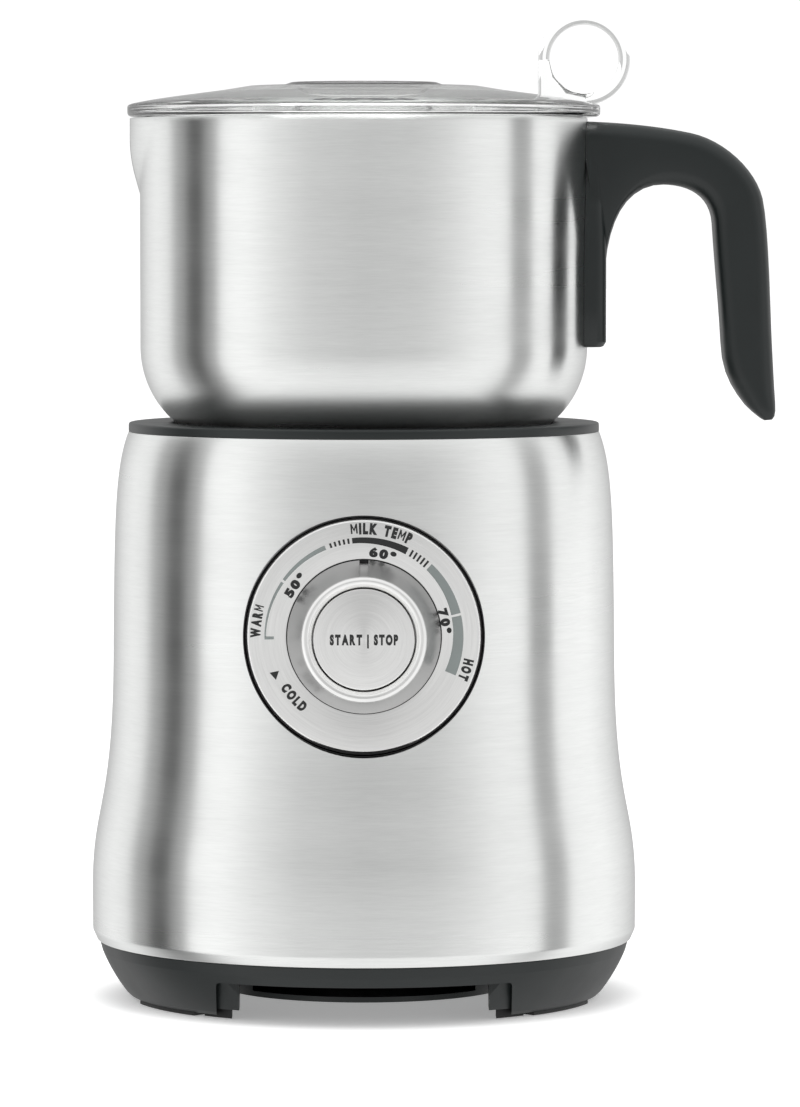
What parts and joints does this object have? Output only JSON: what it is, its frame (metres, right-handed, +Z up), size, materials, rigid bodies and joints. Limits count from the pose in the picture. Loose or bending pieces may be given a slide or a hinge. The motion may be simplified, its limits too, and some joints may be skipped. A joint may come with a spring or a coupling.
{
  "type": "milk frother",
  "caption": "Round steel induction milk frother: powered base with a dial, lift-out jug with handle and clear lid, magnetic whisk disc and a stored spare disc.",
  "frame": {"origin": "on the jug's axis, on the surface that the frother stands on", "axes": "+Z up along the jug's axis; -Y towards the dial; +X towards the handle; -X towards the spout"},
  "size_m": [0.2041, 0.1684, 0.2939],
  "materials": {
    "brushed_steel_shell": "fine horizontal brushing",
    "brushed_steel_jug": "fine horizontal brushing",
    "spun_metal": "circular brushing",
    "satin_black_plastic": "satin moulded",
    "base_plastic": "fine moulded texture",
    "gloss_black": "gloss",
    "clear_plastic": "clear moulded plastic",
    "silicone": "translucent silicone",
    "black_rubber": "matt",
    "white_plastic": "moulded engineering plastic",
    "disc_plastic": "moulded",
    "magnet": "nickel plated",
    "plain_steel": "plain steel",
    "zinc_screws": "zinc plated",
    "cast_aluminium": "as extruded",
    "copper_winding": "enamelled copper",
    "ferrite": "sintered",
    "sintered_bronze": "oiled bronze",
    "circuit_board": "solder mask",
    "component_blue": "sleeve",
    "component_yellow": "tape wound",
    "component_black": "moulded"
  },
  "bodies": {
    "base": {"housing_shell": "brushed_steel_shell", "top_collar": "satin_black_plastic", "heating_plate": "gloss_black", "base_skirt": "base_plastic", "bottom_cover": "base_plastic", "storage_tray": "base_plastic", "foot_pads": "black_rubber", "cover_screws": "zinc_screws", "inner_chassis": "white_plastic", "coil_former": "white_plastic", "induction_coil": "copper_winding", "ferrite_bars": "ferrite", "motor_can": "plain_steel", "stator_magnets": "ferrite", "motor_bearings": "sintered_bronze", "motor_bracket": "cast_aluminium", "bracket_screws": "zinc_screws", "power_board": "circuit_board", "heat_sink": "cast_aluminium", "capacitors": "component_blue", "transformer": "component_yellow", "fan_frame": "component_black", "control_board": "circuit_board", "rotary_sensor": "component_black", "tact_switch": "component_black", "dial_housing": "white_plastic", "dial_plate": "spun_metal", "dial_bezel": "gloss_black", "sensor_guide": "white_plastic", "sensor_spring": "plain_steel", "button_spring": "plain_steel", "cord_gland": "black_rubber"},
    "jug": {"jug_vessel": "brushed_steel_jug", "jug_base_disc": "plain_steel", "whisk_spindle": "plain_steel", "handle_bracket": "plain_steel", "handle_grip": "satin_black_plastic", "handle_screws": "zinc_screws"},
    "disc_carrier": {"disc_bush": "white_plastic"},
    "whisk": {"froth_disc": "disc_plastic", "whisk_ring": "plain_steel", "disc_magnets": "magnet"},
    "lid": {"lid_shell": "clear_plastic", "finger_ring": "clear_plastic", "lid_seal": "silicone"},
    "cap": {"measuring_cap": "clear_plastic"},
    "motor_rotor": {"motor_shaft": "plain_steel", "motor_armature": "copper_winding", "magnet_carrier": "white_plastic", "drive_magnets": "magnet"},
    "fan_rotor": {"fan_impeller": "component_black"},
    "dial": {"dial_knob": "spun_metal", "dial_sleeve": "component_black"},
    "button": {"start_button": "spun_metal"},
    "sensor": {"sensor_cap": "cast_aluminium"},
    "stored_disc": {"spare_disc": "disc_plastic", "spare_magnets": "magnet"}
  },
  "joints": [
    {"name": "jug_lift", "type": "slide", "parent": "base", "child": "jug", "axis": [0, 0, 1], "range_m": [0, 0.1]},
    {"name": "lid_lift", "type": "slide", "parent": "jug", "child": "lid", "axis": [0, 0, 1], "range_m": [0, 0.06]},
    {"name": "cap_lift", "type": "slide", "parent": "lid", "child": "cap", "axis": [0, 0, 1], "range_m": [0, 0.03]},
    {"name": "disc_lift", "type": "slide", "parent": "jug", "child": "disc_carrier", "axis": [0, 0, 1], "range_m": [0, 0.05]},
    {"name": "whisk_spin", "type": "hinge", "parent": "disc_carrier", "child": "whisk", "pos_m": [0, 0, 0.172], "axis": [0, 0, 1], "continuous": true},
    {"name": "motor_spin", "type": "hinge", "parent": "base", "child": "motor_rotor", "pos_m": [0, 0, 0.11], "axis": [0, 0, 1], "continuous": true},
    {"name": "fan_spin", "type": "hinge", "parent": "base", "child": "fan_rotor", "pos_m": [0, 0.034, 0.02], "axis": [0, 0, 1], "continuous": true},
    {"name": "dial_turn", "type": "hinge", "parent": "base", "child": "dial", "pos_m": [0, -0.08, 0.1128], "axis": [0, 1, 0], "range_deg": [-113, 113]},
    {"name": "button_press", "type": "slide", "parent": "base", "child": "button", "axis": [0, 1, 0], "range_m": [0, 0.0015], "stiffness_N_per_m": 400, "deforming": ["button_spring"]},
    {"name": "sensor_press", "type": "slide", "parent": "base", "child": "sensor", "axis": [0, 0, 1], "range_m": [-0.0015, 0], "stiffness_N_per_m": 200, "deforming": ["sensor_spring"]},
    {"name": "spare_disc_slide", "type": "slide", "parent": "base", "child": "stored_disc", "axis": [0, -1, 0], "range_m": [0, 0.11]}
  ],
  "couplings": [
    {"joint": "whisk_spin", "follows": "motor_spin", "ratio": 1}
  ]
}
